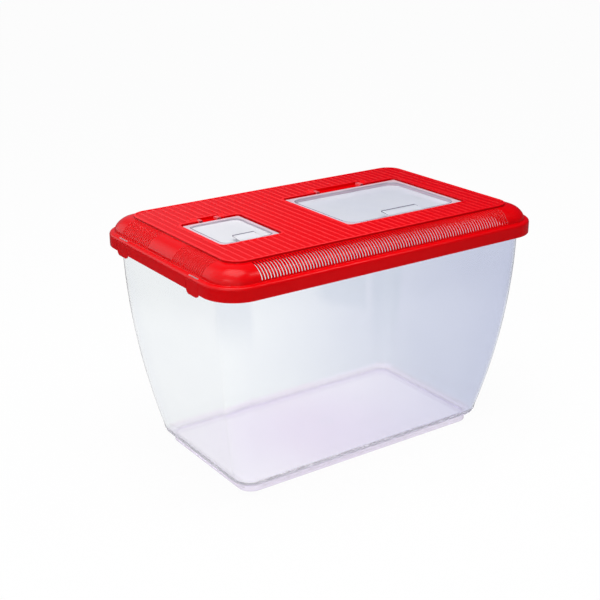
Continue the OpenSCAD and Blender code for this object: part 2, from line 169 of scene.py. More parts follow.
def one_mesh(name, shells):
    """A mesh of closed shells, each welded by itself, with its faces turned outwards.

    A shell is its points, in millimetres, its faces, and the marks of the last faces,
    which line openings: they go into the face attribute "lining", and 0 for all others.
    """
    whole = bmesh.new()
    for points, faces, marks in shells:
        part = bpy.data.meshes.new("shell")
        part.from_pydata((np.asarray(points).reshape(-1, 3) * MM).tolist(), [], faces)
        lining = np.zeros(len(faces), np.float32)
        lining[len(faces) - len(marks):] = marks
        part.attributes.new("lining", "FLOAT", "FACE").data.foreach_set("value", lining)
        work = bmesh.new()
        work.from_mesh(part)
        bmesh.ops.remove_doubles(work, verts=work.verts, dist=WELD * MM)
        bmesh.ops.recalc_face_normals(work, faces=work.faces)
        work.to_mesh(part)
        work.free()
        whole.from_mesh(part)
        bpy.data.meshes.remove(part)
    shape = bpy.data.meshes.new(name)
    whole.to_mesh(shape)
    whole.free()
    return shape


def finished_piece(name, shape, material, body, smooth_angle=None):
    """Puts a mesh into the scene with its material, smooth shading and its body."""
    piece = bpy.data.objects.new(name, shape)
    scene.collection.objects.link(piece)
    shape.materials.clear()
    shape.materials.append(material)
    shape.shade_smooth()
    if smooth_angle is not None:
        shape.set_sharp_from_angle(angle=smooth_angle)
    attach(piece, body)
    return piece


def even_shading(piece):
    """Lets big flat faces keep their own normals beside rounded edges."""
    weigh = piece.modifiers.new("even_shading", "WEIGHTED_NORMAL")
    weigh.mode = "FACE_AREA"
    weigh.keep_sharp = True


class Signal:
    """One output in a material: arithmetic on it adds Math nodes."""

    def __init__(self, finish, output):
        self.finish, self.output = finish, output

    def maths(self, operation, first, second=0.0):
        made = self.finish.node("Math", {0: first, 1: second}, {"operation": operation})
        return Signal(self.finish, made.outputs[0])

    def __add__(self, other): return self.maths("ADD", self, other)
    def __radd__(self, other): return self.maths("ADD", other, self)
    def __sub__(self, other): return self.maths("SUBTRACT", self, other)
    def __rsub__(self, other): return self.maths("SUBTRACT", other, self)
    def __mul__(self, other): return self.maths("MULTIPLY", self, other)
    def __rmul__(self, other): return self.maths("MULTIPLY", other, self)
    def __truediv__(self, other): return self.maths("DIVIDE", self, other)
    def __abs__(self): return self.maths("ABSOLUTE", self)
    def most(self, other): return self.maths("MAXIMUM", self, other)
    def least(self, other): return self.maths("MINIMUM", self, other)
    def root(self): return self.maths("SQRT", self)

    def ramp(self, low, high):
        """0 below low and 1 above high, with a smooth rise between them."""
        made = self.finish.node("MapRange", {
            "Value": self, "From Min": low, "From Max": high},
            {"interpolation_type": "SMOOTHSTEP"})
        return Signal(self.finish, made.outputs[0])


class Finish:
    """A material, or the world, whose nodes all come from node()."""

    def __init__(self, owner):
        owner.use_nodes = True
        self.owner, self.tree = owner, owner.node_tree
        self.tree.nodes.clear()

    def node(self, kind, sockets=None, settings=None):
        """Adds a node, sets its settings, then gives its sockets values or links."""
        made = self.tree.nodes.new("ShaderNode" + kind)
        for key, value in (settings or {}).items():
            setattr(made, key, value)
        for key, value in (sockets or {}).items():
            if isinstance(value, Signal):
                self.tree.links.new(value.output, made.inputs[key])
            elif value is not None:
                colour = made.inputs[key].type == "RGBA"
                made.inputs[key].default_value = (*value, 1.0) if colour else value
        return made

    def signal(self, kind, output=0, sockets=None, settings=None):
        return Signal(self, self.node(kind, sockets, settings).outputs[output])

    def axes(self, source="Object"):
        """The x, y and z of the place on the object, or of another coordinate."""
        split = self.node("SeparateXYZ", {0: self.signal("TexCoord", source)})
        return [Signal(self, split.outputs[i]) for i in range(3)]

    def noise(self, scale, detail):
        """Cloudy values round one half, with this many clouds to the metre."""
        return self.signal("TexNoise", "Fac", {
            "Vector": self.signal("TexCoord", "Object"), "Scale": scale, "Detail": detail,
            "Roughness": 0.5})

    def blend(self, share, first, second):
        """A colour between two, by a share from 0 to 1."""
        made = self.node("Mix", {"Factor": share}, {"data_type": "RGBA"})
        for slot, colour in ((6, first), (7, second)):
            if isinstance(colour, Signal):
                self.tree.links.new(colour.output, made.inputs[slot])
            else:
                made.inputs[slot].default_value = (*colour, 1.0)
        return Signal(self, made.outputs[2])

    def bump(self, height, distance, strength, under=None):
        """A normal tilted by a height, on top of another bump where one is given."""
        return self.signal("Bump", 0, {
            "Height": height, "Distance": distance, "Strength": strength, "Normal": under})

    def mixed(self, share, first, second):
        """One shader blended into another by a share from 0 to 1."""
        made = self.node("MixShader", {0: share})
        self.tree.links.new(first.outputs[0], made.inputs[1])
        self.tree.links.new(second.outputs[0], made.inputs[2])
        return made

    def surface(self, shader):
        """Links the shader to the output, and gives back the material or the world."""
        out = self.node("OutputWorld" if isinstance(self.owner, bpy.types.World)
                        else "OutputMaterial")
        self.tree.links.new(shader.outputs[0], out.inputs["Surface"])
        return self.owner


STRAIGHT_LAVENDER = (0.955, 0.92, 0.99)
STYRENE_IOR = 1.49
CLEAR_ROUGH, CLEAR_ROUGH_CLOUDS, MILKY_ROUGHER = 0.012, 0.03, 0.1
RIPPLE_DEEP, GRAIN_DEEP = 0.6 * MM, 0.02 * MM


def clear_skin(finish):
    """The rippled, finely grained gloss that all the clear mouldings share."""
    ripple = finish.bump(finish.noise(14.0, 2.0), RIPPLE_DEEP, 0.5)
    grain = finish.bump(finish.noise(900.0, 2.0), GRAIN_DEEP, 0.6, ripple)
    return CLEAR_ROUGH + CLEAR_ROUGH_CLOUDS * finish.noise(30.0, 4.0), grain


def clear_mixed(finish, milky_share, clear_colour, milky_colour, straight=None):
    """Clear plastic with a share of milky plastic: haze, and light caught in thin rims.

    A further share, straight, lets light through unbent, as a thin wall does.
    """
    haze, skin = clear_skin(finish)
    glassy = finish.node("BsdfPrincipled", {
        "Base Color": clear_colour, "Roughness": haze, "IOR": STYRENE_IOR,
        "Transmission Weight": 1.0, "Normal": skin})
    milky = finish.node("BsdfPrincipled", {
        "Base Color": milky_colour, "Roughness": haze + MILKY_ROUGHER,
        "IOR": STYRENE_IOR, "Normal": skin})
    shader = finish.mixed(milky_share, glassy, milky)
    if straight is not None:
        unbent = finish.node("BsdfTransparent", {"Color": STRAIGHT_LAVENDER})
        shader = finish.mixed(straight, shader, unbent)
    return finish.surface(shader)


def reach_from(x, y, middle_x, middle_y):
    """The distance in plan from an upright line: root of dx squared plus dy squared."""
    return ((x - middle_x) * (x - middle_x) + (y - middle_y) * (y - middle_y)).root()


TUB_PALE = (0.98, 0.995, 1.0)
TUB_BLUE = (0.71, 0.735, 0.845)
TUB_DEEP = (0.70, 0.74, 0.83)
TUB_FLOOR = (0.95, 0.92, 1.0)
TUB_FLOOR_MIDDLE = (0.86, 0.765, 0.935)
FOOT_LAVENDER = (0.86, 0.83, 1.0)
# Where the tint changes: along x from pale to blue, in the rounded corners, which lean
# out as they rise, at the heights of foot, floor and floor rounding, in a patch, and
# in two faint rings, mould marks of (x, y, radius)
BLUE_ALONG_X, BLUE_MOST, BLUE_CLOUDS, BLUE_LESS = (-0.14, 0.25), 0.86, 0.2, 0.07
CORNER_X, CORNER_Y, CORNER_LEAN = (0.160, 0.172), (0.076, 0.088), 0.1
FOOT_FADE, FLOOR_FADE = (0.0078, 0.0090), (0.0118, 0.0145)
UNDER_FLOOR_FADE, ROUNDING_FADE = (0.0105, 0.0118), (0.0125, 0.0175)
ROUNDING_X, ROUNDING_Y = (0.1705, 0.1735), (0.0868, 0.0898)
FAR_CORNER_RISE, NEAR_CORNER_RISE = (0.02, 0.12), (0.19, 0.25)
PATCH_LEFT, PATCH_RIGHT, PATCH_REAR = (0.07, 0.10), (0.162, 0.170), (0.09, 0.10)
PATCH_LOW, PATCH_MIDDLE, PATCH_SLOPE = (0.112, 0.135), 0.0875, 0.37
FLOOR_MIDDLE, FLOOR_REACH = (-0.02, -0.02), (0.02, 0.17)
MOULD_MARKS = ((0.0026, -0.0054, 0.0065), (0.0785, 0.0287, 0.004))
MOULD_LINE = (0.0004, 0.0014)
DEEP_FAR, DEEP_NEAR, DEEP_PATCH, DEEP_MARK = 0.85, 0.3, 0.7, 0.5
FOOT_HAZE, STRAIGHT_IN_FOOT, STRAIGHT_IN_ROUNDING = 0.25, 0.7, 0.3
finish = Finish(bpy.data.materials.new("clear_tub_plastic"))
x, y, z = finish.axes()
# The blue that deepens along x towards the right end is painted shade; the clouds are the
# plastic's uneven tone.
bluer = x.ramp(*BLUE_ALONG_X) * BLUE_MOST + finish.noise(9.0, 3.0) * BLUE_CLOUDS - BLUE_LESS
tint = finish.blend(bluer.most(0.0), TUB_PALE, TUB_BLUE)


def at_corner(x_side, y_side):
    """1 in the rounded corner on these sides of x and y, and 0 away from it."""
    lean = z * CORNER_LEAN
    return (x * x_side - lean).ramp(*CORNER_X) * (y * y_side - lean).ramp(*CORNER_Y)


# Painted shade and dark reflections deepen the tint at the far right corner, the top of the
# near left corner, and in a patch high on the back wall, whose lower edge slopes
patch = x.ramp(*PATCH_LEFT) * (1 - x.ramp(*PATCH_RIGHT)) * y.ramp(*PATCH_REAR)
patch = patch * (z + (x - PATCH_MIDDLE) * PATCH_SLOPE).ramp(*PATCH_LOW)
painted_shade = (at_corner(1, 1) * z.ramp(*FAR_CORNER_RISE) * DEEP_FAR
          + at_corner(-1, -1) * z.ramp(*NEAR_CORNER_RISE) * DEEP_NEAR + patch * DEEP_PATCH)
tint = finish.blend(painted_shade, tint, TUB_DEEP)
floor_pale = reach_from(x, y, *FLOOR_MIDDLE).ramp(*FLOOR_REACH)
floor = finish.blend(floor_pale, TUB_FLOOR_MIDDLE, TUB_FLOOR)
on_floor = 1 - z.ramp(*FLOOR_FADE)
tint = finish.blend(on_floor, tint, floor)
for mark_x, mark_y, radius in MOULD_MARKS:
    from_ring = abs(reach_from(x, y, mark_x, mark_y) - radius)
    ring = (1 - from_ring.ramp(*MOULD_LINE)) * on_floor
    tint = finish.blend(ring * DEEP_MARK, tint, TUB_DEEP)
foot_part = 1 - z.ramp(*FOOT_FADE)
round_floor = abs(x).ramp(*ROUNDING_X).most(abs(y).ramp(*ROUNDING_Y))
above_floor = z.ramp(*UNDER_FLOOR_FADE)
thin_part = ((1 - above_floor) * STRAIGHT_IN_FOOT
             + (above_floor - z.ramp(*ROUNDING_FADE)) * round_floor * STRAIGHT_IN_ROUNDING)
tub_plastic = clear_mixed(finish, foot_part * FOOT_HAZE, tint, FOOT_LAVENDER, thin_part)

# The tub's section from under the floor out, up, over the rim and back in to the floor,
# as rows of (how far out from the foot along x, and along y, height, corner radius)
rise = np.linspace(0.0, 1.0, WALL_RINGS + 1)
spread = 1 - (1 - rise) ** 2
wall_out = KNEE_OUT + (TUB_OUT - KNEE_OUT) * spread[:, None]
wall_rows = np.column_stack([wall_out, KNEE_TOP + (TUB_TOP - KNEE_TOP) * rise,
                             KNEE_RADIUS + (TUB_TOP_RADIUS - KNEE_RADIUS) * rise])
outer_wall = wall_rows[wall_rows[:, 2] < RIM_UNDER - RIM_GAP]
inner_wall = (wall_rows - [TUB_WALL, TUB_WALL, 0, TUB_WALL])[::-1]


def inset(distance, height):
    """A row that lies this far inside the foot's outer face."""
    return np.array([-distance, -distance, height, FOOT_RADIUS - distance], float)


def knee(start, end):
    """Rows of a quarter ellipse: start + (end - start) * (sin t outwards, 1 - cos t up)."""
    t = np.radians(np.linspace(0, 90, KNEE_RINGS + 1))[1:-1]
    return start + (end - start) * np.column_stack(
        [np.sin(t), np.sin(t), 1 - np.cos(t), np.sin(t)])


outer_knee = knee(inset(0, FOOT_HEIGHT), wall_rows[0])
inner_knee = knee(inset(FLOOR_ROUND, FLOOR_TOP), inner_wall[-1])[::-1]
foot = softened([
    inset(FOOT_WALL + FLAT_END, FOOT_HEIGHT), inset(FOOT_WALL, FOOT_HEIGHT),
    inset(FOOT_WALL, 0), inset(0, 0), inset(0, FOOT_HEIGHT), outer_knee[0]], FOOT_CUTS)[:-1]
lip_out = RIM_OUT - LIP_WALL
rim = softened([
    outer_wall[-1],
    (*TUB_OUT, RIM_UNDER, TUB_TOP_RADIUS),
    (*lip_out, RIM_UNDER, RIM_RADIUS - LIP_WALL),
    (*lip_out, LIP_LOW, RIM_RADIUS - LIP_WALL),
    (*RIM_OUT, LIP_LOW, RIM_RADIUS),
    (*RIM_OUT, TUB_TOP, RIM_RADIUS),
    (*(TUB_OUT - TUB_WALL), TUB_TOP, TUB_TOP_RADIUS - TUB_WALL),
    inner_wall[1]], RIM_CUTS)[1:-1]
tub_section = np.vstack([
    foot, outer_knee, outer_wall, rim, inner_wall[1:], inner_knee,
    inset(FLOOR_ROUND, FLOOR_TOP), inset(FLOOR_ROUND + FLAT_END, FLOOR_TOP)])
tub_rings = carried_round(FOOT_HALF + tub_section[:, :2], tub_section[:, 2],
                          tub_section[:, 3], CORNER_STEPS,
                          np.arange(1, LONG_CELLS) / LONG_CELLS,
                          np.arange(1, SHORT_CELLS) / SHORT_CELLS)
tub_shape = one_mesh("tub_clear", [(tub_rings, loft_faces(*tub_rings.shape[:2]), [])])
tub = finished_piece("tub_clear", tub_shape, tub_plastic, "tub")
even_shading(tub)
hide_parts("tub")

# -------------------- lid
# The lid is one red injection moulding: a skirt that drops over the tub's rim, a
# flat ledge, an arched shoulder cut by rows of air slots, and a raised ribbed plate
# with two recesses for the doors and four knuckles for their pins.
LID_HALF = np.array([235.0, 149.0])
LID_RADIUS = 42.0
LID_WALL = 2.0
SKIRT_LOW = 265.0
WINDOW_TOP = 278.2
LEDGE = 282.0
LEDGE_IN = 6.5
EDGE_ROUND = 3.5
ARCH_LOW, ARCH_LOW_R = np.array([18.5, 282.0]), 12.0
ARCH_TOP, ARCH_TOP_R = np.array([28.5, 274.5]), 24.5
# The shoulder's two arcs meet on the line through their centres, at this angle
ARCH_JOINT = math.degrees(math.atan2(ARCH_LOW[1] - ARCH_TOP[1], ARCH_TOP[0] - ARCH_LOW[0]))
PLATE_IN = 28.5
PLATE_FOOT = 299.0
PLATE_TOP = 302.0
PLATE_RADIUS = 20.8
PLATE_BORDER = 2.5
PLATE_LAP = 0.3  # how far the plate's foot reaches past its edge onto the arch
PLATE_CUTS = (0.25, 0.7, 0.2, 0, 0, 0)
BAND_TOP = 301.4
RIB_PITCH = 9.7
RIB_HALF = 1.0
# A rib's rounded flank, as distance from its middle line and height
RIB_FLANK = ((0.8, PLATE_TOP), (0.95, PLATE_TOP - 0.12), (1.1, BAND_TOP + 0.1),
             (1.25, BAND_TOP))
SLOT_PITCH = 4.0
SLOT_HALF = 0.9
SLOT_LOW = 283.5
SLOT_END_IN = 27.5
SLOT_EDGE = 0.35
SLOT_EDGE_DROP = 0.25
SLOT_EDGE_RISE = 0.3
LONG_SLOTS = 45
SHORT_SLOTS = 16
SHORT_BLANK = 30.0
BLANK_MARKS = (0.0, 10.0, 20.0)
LONG_STRAIGHT, SHORT_STRAIGHT = 184.0, 99.0
CLIP_MIDDLE = 84.0
WINDOW_HALF = 13.5
LEDGE_SLOT_HALF = 10.0
LEDGE_SLOT_IN = (2.0, 4.0)
LEDGE_SLOT_MARK, AIR_SLOT_MARK = 0.5, 1.0


def arc_rows(centre, radius, degrees):
    """Points at centre + radius * (-cos a, sin a): distance in from the face, and height."""
    a = np.radians(degrees)
    return np.column_stack([centre[0] - radius * np.cos(a), centre[1] + radius * np.sin(a)])


def rise_angle(radius, height):
    """The angle at which such an arc is this high above its centre."""
    return math.degrees(math.asin(height / radius))


def run_angle(radius, run):
    """The angle at which such an arc is this far short of its centre."""
    return math.degrees(math.acos(run / radius))


def flat_softened(corners, cuts):
    """A softened outline of (distance, height) points, three steps to a corner."""
    return softened(corners, cuts, 3, (0, 1))


# The lid's section as one closed loop of (distance in, height), from the inside of
# the skirt down round its lower edge, up over the shoulder to the plate, and back.
# Arcs are given by their points' angles; openings begin and end where parts do
edge_centre = (EDGE_ROUND, LEDGE - EDGE_ROUND)
loop_parts = {
    "skirt": flat_softened([(LID_WALL, WINDOW_TOP), (LID_WALL, SKIRT_LOW), (0, SKIRT_LOW),
                            (0, WINDOW_TOP)], (0.5, 0.8)),
    "edge": arc_rows(edge_centre, EDGE_ROUND, (8, 22, 36, 50)),
    "ledge_slot_out": np.vstack([
        arc_rows(edge_centre, EDGE_ROUND,
                 (run_angle(EDGE_ROUND, EDGE_ROUND - LEDGE_SLOT_IN[0]), 77, 90)),
        [(LEDGE_SLOT_IN[1], LEDGE)]]),
    "ledge": flat_softened([(LEDGE_IN - 1, LEDGE), (LEDGE_IN, LEDGE),
                            (LEDGE_IN + 0.02, LEDGE + 0.8)], (0.6,))[1:],
    "slot_out": np.vstack([
        arc_rows(ARCH_LOW, ARCH_LOW_R, (rise_angle(ARCH_LOW_R, SLOT_LOW - LEDGE), 15, 22,
                                        29, ARCH_JOINT)),
        arc_rows(ARCH_TOP, ARCH_TOP_R, (44, 51, 58, 65, 72, 79,
                                        run_angle(ARCH_TOP_R, PLATE_IN - SLOT_END_IN)))]),
    "plate": flat_softened([(PLATE_IN - PLATE_LAP, PLATE_FOOT), (PLATE_IN, PLATE_FOOT),
                            (PLATE_IN, PLATE_TOP), (PLATE_IN + PLATE_BORDER, PLATE_TOP),
                            (PLATE_IN + PLATE_BORDER, PLATE_TOP - LID_WALL),
                            (PLATE_IN + LID_WALL, PLATE_TOP - LID_WALL),
                            (PLATE_IN + LID_WALL, PLATE_FOOT - LID_WALL),
                            (PLATE_IN, PLATE_FOOT - LID_WALL)], PLATE_CUTS),
    "slot_in": np.vstack([
        arc_rows(ARCH_TOP, ARCH_TOP_R - LID_WALL,
                 (run_angle(ARCH_TOP_R - LID_WALL, PLATE_IN - SLOT_END_IN), 77, 67, 57, 47,
                  ARCH_JOINT)),
        arc_rows(ARCH_LOW, ARCH_LOW_R - LID_WALL,
                 (27, 17, rise_angle(ARCH_LOW_R - LID_WALL, SLOT_LOW - LEDGE)))]),
    "under_ledge": np.array([(LEDGE_IN + LID_WALL, LEDGE),
                             (LEDGE_IN + LID_WALL, LEDGE - LID_WALL)]),
    "ledge_slot_in": np.array([(LEDGE_SLOT_IN[1], LEDGE - LID_WALL),
                               (LEDGE_SLOT_IN[0], LEDGE - LID_WALL)]),
}
ends = np.cumsum([len(part) for part in loop_parts.values()])
span = {name: (end - len(part), end - 1)
        for (name, part), end in zip(loop_parts.items(), ends)}
lid_loop = np.vstack(list(loop_parts.values()))
loop_in, loop_height = lid_loop[:, 0], lid_loop[:, 1]
# Rows that belong to the plate turn its corners on the plate's own radius
of_plate = np.zeros(len(lid_loop), bool)
of_plate[span["plate"][0] + 1:span["plate"][1]] = True
loop_radius = np.where(of_plate, PLATE_RADIUS + PLATE_IN - loop_in, LID_RADIUS - loop_in)


def marks_on_side(slot_middles, others):
    """Where the grid is cut on a straight side: both edges of each slot and of its
    rounding, and others."""
    slots = np.concatenate([slot_middles + reach for reach in
                            (-SLOT_HALF - SLOT_EDGE, -SLOT_HALF, SLOT_HALF,
                             SLOT_HALF + SLOT_EDGE)])
    return np.unique(np.round(np.concatenate([slots, others, -np.asarray(others)]), 4))


long_slot_middles = SLOT_PITCH * np.arange(-LONG_SLOTS, LONG_SLOTS + 1)
short_slot_middles = SHORT_BLANK + SLOT_PITCH * np.arange(SHORT_SLOTS + 1)
short_slot_middles = np.concatenate([-short_slot_middles, short_slot_middles])
long_marks = marks_on_side(long_slot_middles, [LONG_STRAIGHT])
short_marks = marks_on_side(short_slot_middles, [
    CLIP_MIDDLE - WINDOW_HALF, CLIP_MIDDLE + WINDOW_HALF,
    CLIP_MIDDLE - LEDGE_SLOT_HALF, CLIP_MIDDLE + LEDGE_SLOT_HALF, *BLANK_MARKS])
loop_halves = LID_HALF - loop_in[:, None]
straight = (loop_halves - loop_radius[:, None])[:, :, None]
side_shares = ((long_marks + straight[:, 0]) / (2 * straight[:, 0]),
               (short_marks + straight[:, 1]) / (2 * straight[:, 1]))
lid_rings = carried_round(loop_halves, loop_height, loop_radius, CORNER_STEPS, *side_shares)
rows, columns = lid_rings.shape[:2]

# Which cells round the lid are cut open by slots, clip windows and ledge slots
ledge_row = lid_rings[span["ledge_slot_out"][1]]
middle = np.abs(ledge_row + np.roll(ledge_row, -1, axis=0))[:, :2] / 2
side_at = LID_HALF - LEDGE_SLOT_IN[1] - 0.2
on_long = (middle[:, 1] > side_at[1]) & (middle[:, 0] < LONG_STRAIGHT)
on_short = (middle[:, 0] > side_at[0]) & (middle[:, 1] < SHORT_STRAIGHT)


def in_slot(along, slots):
    """Whether cells lie in one of the slots whose middles are 0, 1, ... pitches along."""
    step = along / SLOT_PITCH
    nearest = np.round(step)
    return ((np.abs(step - nearest) < SLOT_HALF / SLOT_PITCH)
            & (nearest >= 0) & (nearest <= slots))


slot_cells = ((on_long & in_slot(middle[:, 0], LONG_SLOTS))
              | (on_short & in_slot(middle[:, 1] - SHORT_BLANK, SHORT_SLOTS)))
from_clip = np.abs(middle[:, 1] - CLIP_MIDDLE)

# The slots' edges are rounded: along them the outer face is drawn in towards the
# arch's centre and the inner face is pushed out from it. Below the height where its
# two arcs meet, a face's centre is the lower arc's
drawn_in = np.zeros(len(lid_loop))
drawn_in[span["slot_out"][0] + 1:span["slot_out"][1]] = SLOT_EDGE_DROP
drawn_in[span["slot_in"][0] + 1:span["slot_in"][1]] = -SLOT_EDGE_RISE
arcs_meet = LEDGE + math.sin(math.radians(ARCH_JOINT)) * np.where(
    drawn_in > 0, ARCH_LOW_R, ARCH_LOW_R - LID_WALL)
low_part = loop_height < arcs_meet + 0.1
from_centre = lid_loop - np.where(low_part[:, None], ARCH_LOW, ARCH_TOP)
from_centre /= np.linalg.norm(from_centre, axis=1)[:, None]
edge_loop = lid_loop - from_centre * drawn_in[:, None]
edge_radius = np.where(drawn_in == 0, loop_radius, LID_RADIUS - edge_loop[:, 0])
edge_rings = carried_round(LID_HALF - edge_loop[:, :1], edge_loop[:, 1], edge_radius,
                           CORNER_STEPS, *side_shares)
slot_sides = np.flatnonzero(slot_cells != np.roll(slot_cells, 1))
lid_rings[:, slot_sides] = edge_rings[:, slot_sides]
lid_openings = [
    ([span["skirt"]], on_short & (from_clip < WINDOW_HALF), 0),
    ([span["ledge_slot_out"], span["ledge_slot_in"]],
     on_short & (from_clip < LEDGE_SLOT_HALF), LEDGE_SLOT_MARK),
    ([span["slot_out"], span["slot_in"]], slot_cells, AIR_SLOT_MARK),
]


def opened_loop_faces(rows, columns, openings):
    """Quads of a loop carried round, without the cells of its openings.

    An opening is spans of rows, the columns it takes, and a mark. It is lined by a
    flat face over its rows wherever it begins or ends, and by one quad per column
    between the end of each span and the start of the next. Returns the faces, with
    the linings at their end, and the linings' marks.
    """
    kept = np.ones((rows, columns), bool)
    lining, marks = [], []
    for spans, open_cells, mark in openings:
        cells = np.flatnonzero(open_cells)
        beside = (cells + 1) % columns
        loop = np.concatenate([np.arange(first, last + 1) for first, last in spans])
        for number, (first, last) in enumerate(spans):
            kept[first:last, open_cells] = False
            after = spans[(number + 1) % len(spans)][0]
            lining += np.stack([last * columns + cells, last * columns + beside,
                                after * columns + beside, after * columns + cells],
                               axis=1).tolist()
        edges = np.flatnonzero(open_cells != np.roll(open_cells, 1))
        lining += (loop[None, :] * columns + edges[:, None]).tolist()
        marks += [mark] * (len(lining) - len(marks))
    quads = np.array(loft_faces(rows, columns, closed=True))
    return quads[kept.reshape(-1)].tolist() + lining, marks


lid_ring = (lid_rings, *opened_loop_faces(rows, columns, lid_openings))

# A door's place in the lid: middle x, front y, width, depth, tray corner radius,
# width of the hinge pocket, and distance of the hinge axis behind the door
DOORS = {"large": (75.25, -77.65, 181.5, 140.7, 17.0, 77.0, 10.2),
         "small": (-138.5, -57.75, 81.0, 95.5, 9.0, 31.0, 7.7)}
RECESS_SIDE, RECESS_BACK, RECESS_RADIUS = 1.0, 2.0, 6.0
RAISED_BORDER = 3.0
POCKET_BACK, POCKET_SIDE = 4.8, 5.0
KNUCKLE_LONG, KNUCKLE_R, KNUCKLE_BORE, KNUCKLE_BORE_DEEP = 7.5, 4.2, 1.56, 5.0
KNUCKLE_END, KNUCKLE_SIDES = 1.0, 32
KNUCKLE_SIDE, KNUCKLE_BEHIND = 10.5, 5.7
HINGE_AXIS = 300.2
RECESS_FLOOR, POCKET_FLOOR = 298.2, 297.9
HOLE_IN, RIM_WIDE = 3.7, 6.5
# The opening's spare points, which pair with the corners of the pocket: how far past
# the pocket the first may lie, how far short of the corner, and their spacing
SPARE_PAST, SPARE_SHORT, SPARE_STEP = 8.0, 1.0, 2.0
SHARP_STEP = 1e-4  # half the run of a step in an outline that is drawn by x


def recess_edges(door, x):
    """Front and rear limits of a door's raised border at x, and where there is one.

    The corners are quarter circles; the rear steps back round knuckles and pocket.
    Beside the border both limits are 0.
    """
    mid, front, wide, deep, _, pocket, hinge = door
    low = front - RECESS_SIDE - RAISED_BORDER
    high = front + deep + RECESS_BACK + RAISED_BORDER
    radius = RECESS_RADIUS + RAISED_BORDER
    inside = wide / 2 + RECESS_SIDE + RAISED_BORDER - np.abs(x - mid)
    bow = radius - np.sqrt(np.maximum(radius ** 2 - np.maximum(radius - inside, 0) ** 2, 0))
    axis = front + deep + hinge
    rear = np.where(np.abs(x - mid) < pocket / 2 + KNUCKLE_SIDE, axis + KNUCKLE_BEHIND,
                    high - bow)
    rear = np.where(np.abs(x - mid) < pocket / 2 + RAISED_BORDER,
                    axis + POCKET_BACK + RAISED_BORDER, rear)
    there = inside > 0
    return np.where(there, low + bow, 0.0), np.where(there, rear, 0.0), there


def ribbed_plate():
    """The plate inside its border: two closed strips, before and behind the doors.

    Across x the top follows the ribs; along y each column of points runs from the
    plate's rounded outline to a door's border, or to the middle line.
    """
    half = LID_HALF - PLATE_IN - PLATE_BORDER
    radius = PLATE_RADIUS - PLATE_BORDER
    flank, flank_top = np.array(RIB_FLANK).T
    rib_x = np.concatenate([-flank[::-1], flank])
    rib_top = np.concatenate([flank_top[::-1], flank_top])
    count = int(half[0] // RIB_PITCH)
    ribs = RIB_PITCH * np.arange(-count, count + 1)
    comb_x = (ribs[:, None] + rib_x).reshape(-1)
    comb_top = np.tile(rib_top, len(ribs))
    jumps = [[mid + side * reach + nudge for side in (-1, 1)
              for nudge in (-SHARP_STEP, SHARP_STEP)
              for reach in (wide / 2 + RECESS_SIDE + RAISED_BORDER,
                            pocket / 2 + KNUCKLE_SIDE, pocket / 2 + RAISED_BORDER)]
             for mid, _, wide, _, _, pocket, _ in DOORS.values()]
    turns = np.sin(np.radians(np.arange(0, 91, 9)))
    bows = [mid + side * (wide / 2 + RECESS_SIDE - RECESS_RADIUS
                          + (RECESS_RADIUS + RAISED_BORDER) * turns[:-1])
            for mid, _, wide, _, _, _, _ in DOORS.values() for side in (-1, 1)]
    rounds = half[0] - radius + radius * turns
    x = np.concatenate([comb_x, *jumps, *bows, rounds, -rounds])
    x = np.unique(np.round(x[np.abs(x) <= half[0]], 5))
    top = np.interp(x, comb_x, comb_top)
    top[np.abs(x) > ribs[-1] + RIB_HALF] = PLATE_TOP
    over = np.maximum(np.abs(x) - half[0] + radius, 0)
    outline = half[1] - radius + np.sqrt(np.maximum(radius ** 2 - over ** 2, 0))
    front, rear, beside = np.zeros_like(x), np.zeros_like(x), np.ones(len(x), bool)
    for door in DOORS.values():
        low, high, there = recess_edges(door, x)
        front, rear, beside = front + low, rear + high, beside & ~there
    under = np.full_like(x, PLATE_TOP - LID_WALL)
    strips = [np.stack([x, x, x, x, near, far, far, near, top, top, under, under])
              .reshape(3, 4, -1).T for near, far in ((-outline, front), (rear, outline))]
    points = np.concatenate(strips).reshape(-1, 3)
    # Where no door lies between them, the strips meet on the middle line: the two
    # walls there are left out and their points are welded
    quads = np.array(loft_faces(len(x), 4)[:-2]).reshape(len(x) - 1, 4, 4)
    joined = beside[:-1] & beside[1:]
    faces = []
    for number, open_side in enumerate((1, 3)):
        keep = np.ones(quads.shape[:2], bool)
        keep[joined, open_side] = False
        shift = number * 4 * len(x)
        faces += (quads[keep] + shift).tolist()
        faces += [[first + i for i in range(4)] for first in (shift, shift + 4 * len(x) - 4)]
    return points, faces, []


